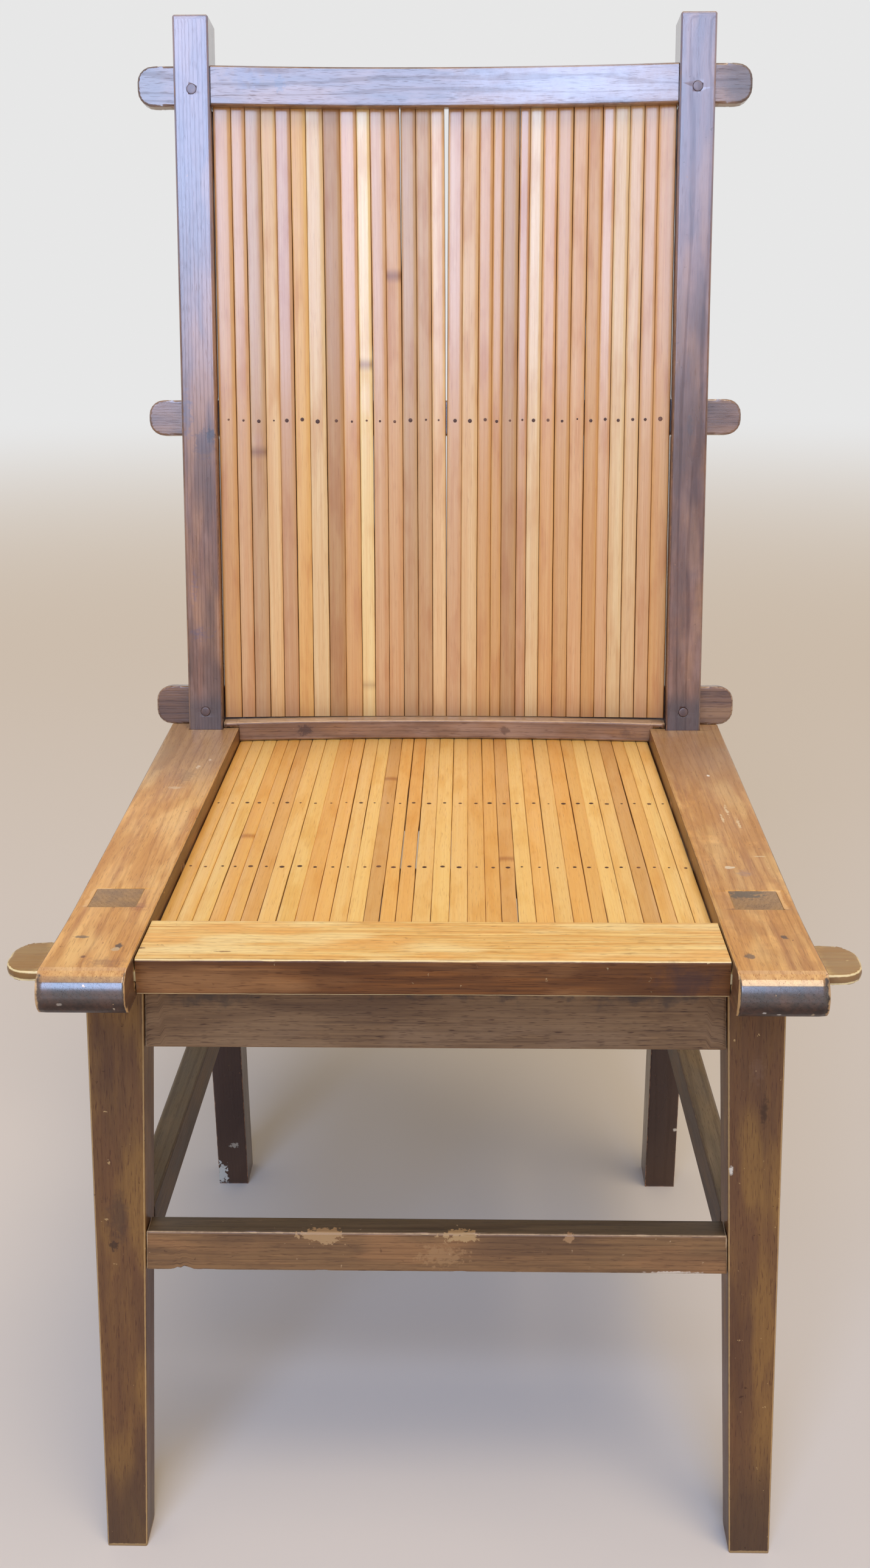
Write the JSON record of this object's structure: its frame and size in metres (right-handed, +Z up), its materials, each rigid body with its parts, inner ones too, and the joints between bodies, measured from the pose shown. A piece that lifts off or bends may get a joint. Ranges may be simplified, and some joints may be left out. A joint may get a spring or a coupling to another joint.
{
  "type": "slatted wooden dining chair",
  "caption": "Side chair of dark stained hardwood with a raked bamboo slat back, a bamboo slat seat and rails whose rounded tenons run out past the posts.",
  "frame": {"origin": "on the floor, under the middle of the chair's bounding box", "axes": "+Z up, the sitter faces -Y, +X to the right as seen from the front; the left and right halves mirror each other in the plane X = 0"},
  "size_m": [0.461, 0.5652, 0.9638],
  "materials": {
    "dark_stained_hardwood": "dark stained hardwood under old rubbed varnish, satin",
    "worn_stained_hardwood": "stained hardwood, dull and worn paler along its edges",
    "aged_bamboo": "split bamboo, aged tan, satin varnish",
    "golden_bamboo": "split bamboo, golden brown, satin varnish",
    "peg_end_grain": "dark end grain of a hardwood peg"
  },
  "bodies": {
    "root": {"back_post_left": "dark_stained_hardwood", "back_post_right": "dark_stained_hardwood", "back_slat_31": "aged_bamboo", "back_slats_01_02": "aged_bamboo", "back_slats_03_04": "aged_bamboo", "back_slats_05_06": "aged_bamboo", "back_slats_07_08": "aged_bamboo", "back_slats_09_10": "aged_bamboo", "back_slats_11_12": "aged_bamboo", "back_slats_13_14": "aged_bamboo", "back_slats_15_16": "aged_bamboo", "back_slats_17_18": "aged_bamboo", "back_slats_19_20": "aged_bamboo", "back_slats_21_22": "aged_bamboo", "back_slats_23_24": "aged_bamboo", "back_slats_25_26": "aged_bamboo", "back_slats_27_28": "aged_bamboo", "back_slats_29_30": "aged_bamboo", "bottom_back_rail": "dark_stained_hardwood", "bottom_rail_peg_left": "peg_end_grain", "bottom_rail_peg_right": "peg_end_grain", "front_apron": "worn_stained_hardwood", "front_leg_left": "dark_stained_hardwood", "front_leg_right": "dark_stained_hardwood", "front_seat_batten": "worn_stained_hardwood", "front_seat_rail": "dark_stained_hardwood", "front_stretcher": "worn_stained_hardwood", "middle_back_rail": "dark_stained_hardwood", "rear_apron": "dark_stained_hardwood", "rear_seat_batten": "worn_stained_hardwood", "rear_seat_rail": "worn_stained_hardwood", "rear_stretcher": "dark_stained_hardwood", "seat_slats_01_02": "golden_bamboo", "seat_slats_03_04": "golden_bamboo", "seat_slats_05_06": "golden_bamboo", "seat_slats_07_08": "golden_bamboo", "seat_slats_09_10": "golden_bamboo", "seat_slats_11_12": "golden_bamboo", "seat_slats_13_14": "golden_bamboo", "seat_slats_15_16": "golden_bamboo", "seat_slats_17_18": "golden_bamboo", "seat_slats_19_20": "golden_bamboo", "seat_slats_21_22": "golden_bamboo", "seat_slats_23_24": "golden_bamboo", "seat_slats_25_26": "golden_bamboo", "seat_slats_27_28": "golden_bamboo", "seat_slats_29_30": "golden_bamboo", "seat_slats_31_32": "golden_bamboo", "side_apron_left": "dark_stained_hardwood", "side_apron_right": "dark_stained_hardwood", "side_board_left": "dark_stained_hardwood", "side_board_right": "dark_stained_hardwood", "side_stretcher_left": "worn_stained_hardwood", "side_stretcher_right": "worn_stained_hardwood", "top_back_rail": "dark_stained_hardwood", "top_rail_peg_left": "peg_end_grain", "top_rail_peg_right": "peg_end_grain"}
  },
  "joints": []
}
